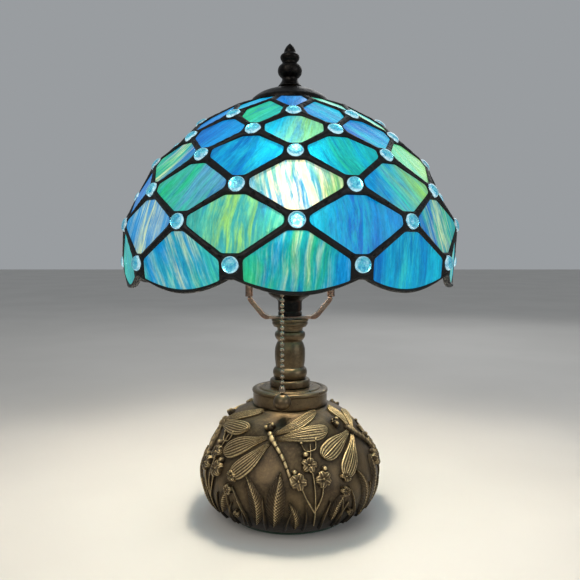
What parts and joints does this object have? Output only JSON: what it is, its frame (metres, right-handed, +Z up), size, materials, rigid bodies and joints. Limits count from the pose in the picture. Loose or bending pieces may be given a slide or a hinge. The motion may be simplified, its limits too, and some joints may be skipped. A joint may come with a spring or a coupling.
{
  "type": "stained glass table lamp",
  "caption": "Table lamp with a domed shade of flat glass panes and round glass jewels, a pull-chain lamp holder, a turned stem and a cast vase-shaped base with insect and flower relief.",
  "frame": {"origin": "centre of the felt pad's underside, on the surface that the lamp stands on", "axes": "+Z up the lamp rod; -Y is the front, where the pull chain hangs; the harp lies in the XZ plane"},
  "size_m": [0.258, 0.2526, 0.3594],
  "materials": {
    "cast_bronze": "antique bronze over a cast body, dark in the recesses and worn gold on the relief",
    "turned_bronze": "satin brown bronze",
    "rose_bronze": "satin rose bronze plate",
    "dark_metal": "near-black satin lacquer",
    "plain_brass": "plain brass",
    "plain_steel": "zinc plated steel",
    "chain_metal": "darkened brass beads",
    "felt": "dark green felt",
    "grommet_rubber": "matte",
    "phenolic": "moulded",
    "insulating_card": "plain card",
    "bulb_glass": "frosted, lit from inside",
    "bulb_light": "glowing lamp mount",
    "shade_glass": "streaky opalescent art glass in blue, aqua, green and cream",
    "jewel_glass": "pale aqua pressed jewels",
    "solder": "black patina solder"
  },
  "bodies": {
    "base": {"base_body": "cast_bronze", "felt_pad": "felt", "bottom_plate": "plain_steel", "rod_nut": "plain_steel", "rod_washer": "plain_steel", "lamp_rod": "plain_steel", "cord_grommet": "grommet_rubber", "neck_collar": "turned_bronze", "stem_foot_ring": "turned_bronze", "stem_body": "turned_bronze", "stem_top_plate": "turned_bronze", "harp_saddle": "rose_bronze", "harp_wire": "rose_bronze", "harp_stud": "plain_brass", "socket_cap": "dark_metal", "socket_shell": "dark_metal", "insulating_sleeve": "insulating_card", "switch_housing": "phenolic", "terminal_screw_left": "plain_brass", "terminal_screw_right": "plain_steel", "screw_shell": "plain_brass", "centre_contact": "plain_brass", "chain_guide": "dark_metal"},
    "sleeve_left": {"harp_sleeve_left": "rose_bronze"},
    "sleeve_right": {"harp_sleeve_right": "rose_bronze"},
    "shade": {"glass_row_one": "shade_glass", "glass_row_two": "shade_glass", "glass_row_three": "shade_glass", "glass_row_four": "shade_glass", "glass_row_five": "shade_glass", "glass_row_six": "shade_glass", "glass_row_seven": "shade_glass", "leading_one_two": "solder", "leading_two_three": "solder", "leading_three_four": "solder", "leading_four_five": "solder", "leading_five_six": "solder", "leading_six_seven": "solder", "rim_came": "solder", "shade_top_ring": "plain_brass", "vase_cap": "dark_metal"},
    "washer": {"finial_washer": "plain_brass"},
    "finial": {"finial": "dark_metal"},
    "eyelet": {"bulb_eyelet": "solder"},
    "bulb": {"bulb_glass": "bulb_glass", "bulb_screw_base": "plain_steel", "bulb_filament_mount": "bulb_light"},
    "cam": {"switch_cam": "plain_brass"},
    "puller": {"chain_puller": "chain_metal"},
    "pivot_bead": {"chain_pivot_bead": "chain_metal"},
    "chain": {"pull_chain": "chain_metal", "chain_connector": "chain_metal", "pull_ball": "turned_bronze"}
  },
  "joints": [
    {"name": "shade_turn", "type": "hinge", "parent": "base", "child": "shade", "pos_m": [0, 0, 0.3242], "axis": [0, 0, 1], "continuous": true},
    {"name": "finial_rise", "type": "slide", "parent": "base", "child": "washer", "axis": [0, 0, 1], "range_m": [0, 0.0075]},
    {"name": "finial_unscrew", "type": "hinge", "parent": "washer", "child": "finial", "pos_m": [0, 0, 0.3268], "axis": [0, 0, 1], "range_deg": [0, 2700]},
    {"name": "bulb_rise", "type": "slide", "parent": "base", "child": "eyelet", "axis": [0, 0, 1], "range_m": [0, 0.0181]},
    {"name": "bulb_unscrew", "type": "hinge", "parent": "eyelet", "child": "bulb", "pos_m": [0, 0, 0.19], "axis": [0, 0, 1], "range_deg": [0, 1796]},
    {"name": "sleeve_left_lift", "type": "slide", "parent": "base", "child": "sleeve_left", "axis": [0, 0, 1], "range_m": [0, 0.012]},
    {"name": "sleeve_right_lift", "type": "slide", "parent": "base", "child": "sleeve_right", "axis": [0, 0, 1], "range_m": [0, 0.012]},
    {"name": "chain_pull", "type": "slide", "parent": "base", "child": "puller", "axis": [0, 0, -1], "range_m": [0, 0.005], "stiffness_N_per_m": 500, "springref_m": -0.002},
    {"name": "switch_turn", "type": "hinge", "parent": "base", "child": "cam", "pos_m": [0, 0, 0.1773], "axis": [1, 0, 0], "range_deg": [0, 91]},
    {"name": "chain_sway", "type": "hinge", "parent": "puller", "child": "pivot_bead", "pos_m": [-0.0056, -0.0376, 0.1604], "axis": [0, 1, 0], "range_deg": [-18, 18]},
    {"name": "chain_swing", "type": "hinge", "parent": "pivot_bead", "child": "chain", "pos_m": [-0.0056, -0.0376, 0.1604], "axis": [-1, 0, 0], "range_deg": [0, 35]}
  ],
  "couplings": [
    {"joint": "finial_unscrew", "follows": "finial_rise", "rad_per_m": 6283},
    {"joint": "bulb_unscrew", "follows": "bulb_rise", "rad_per_m": 1731.4},
    {"joint": "switch_turn", "follows": "chain_pull", "rad_per_m": 314.16}
  ]
}
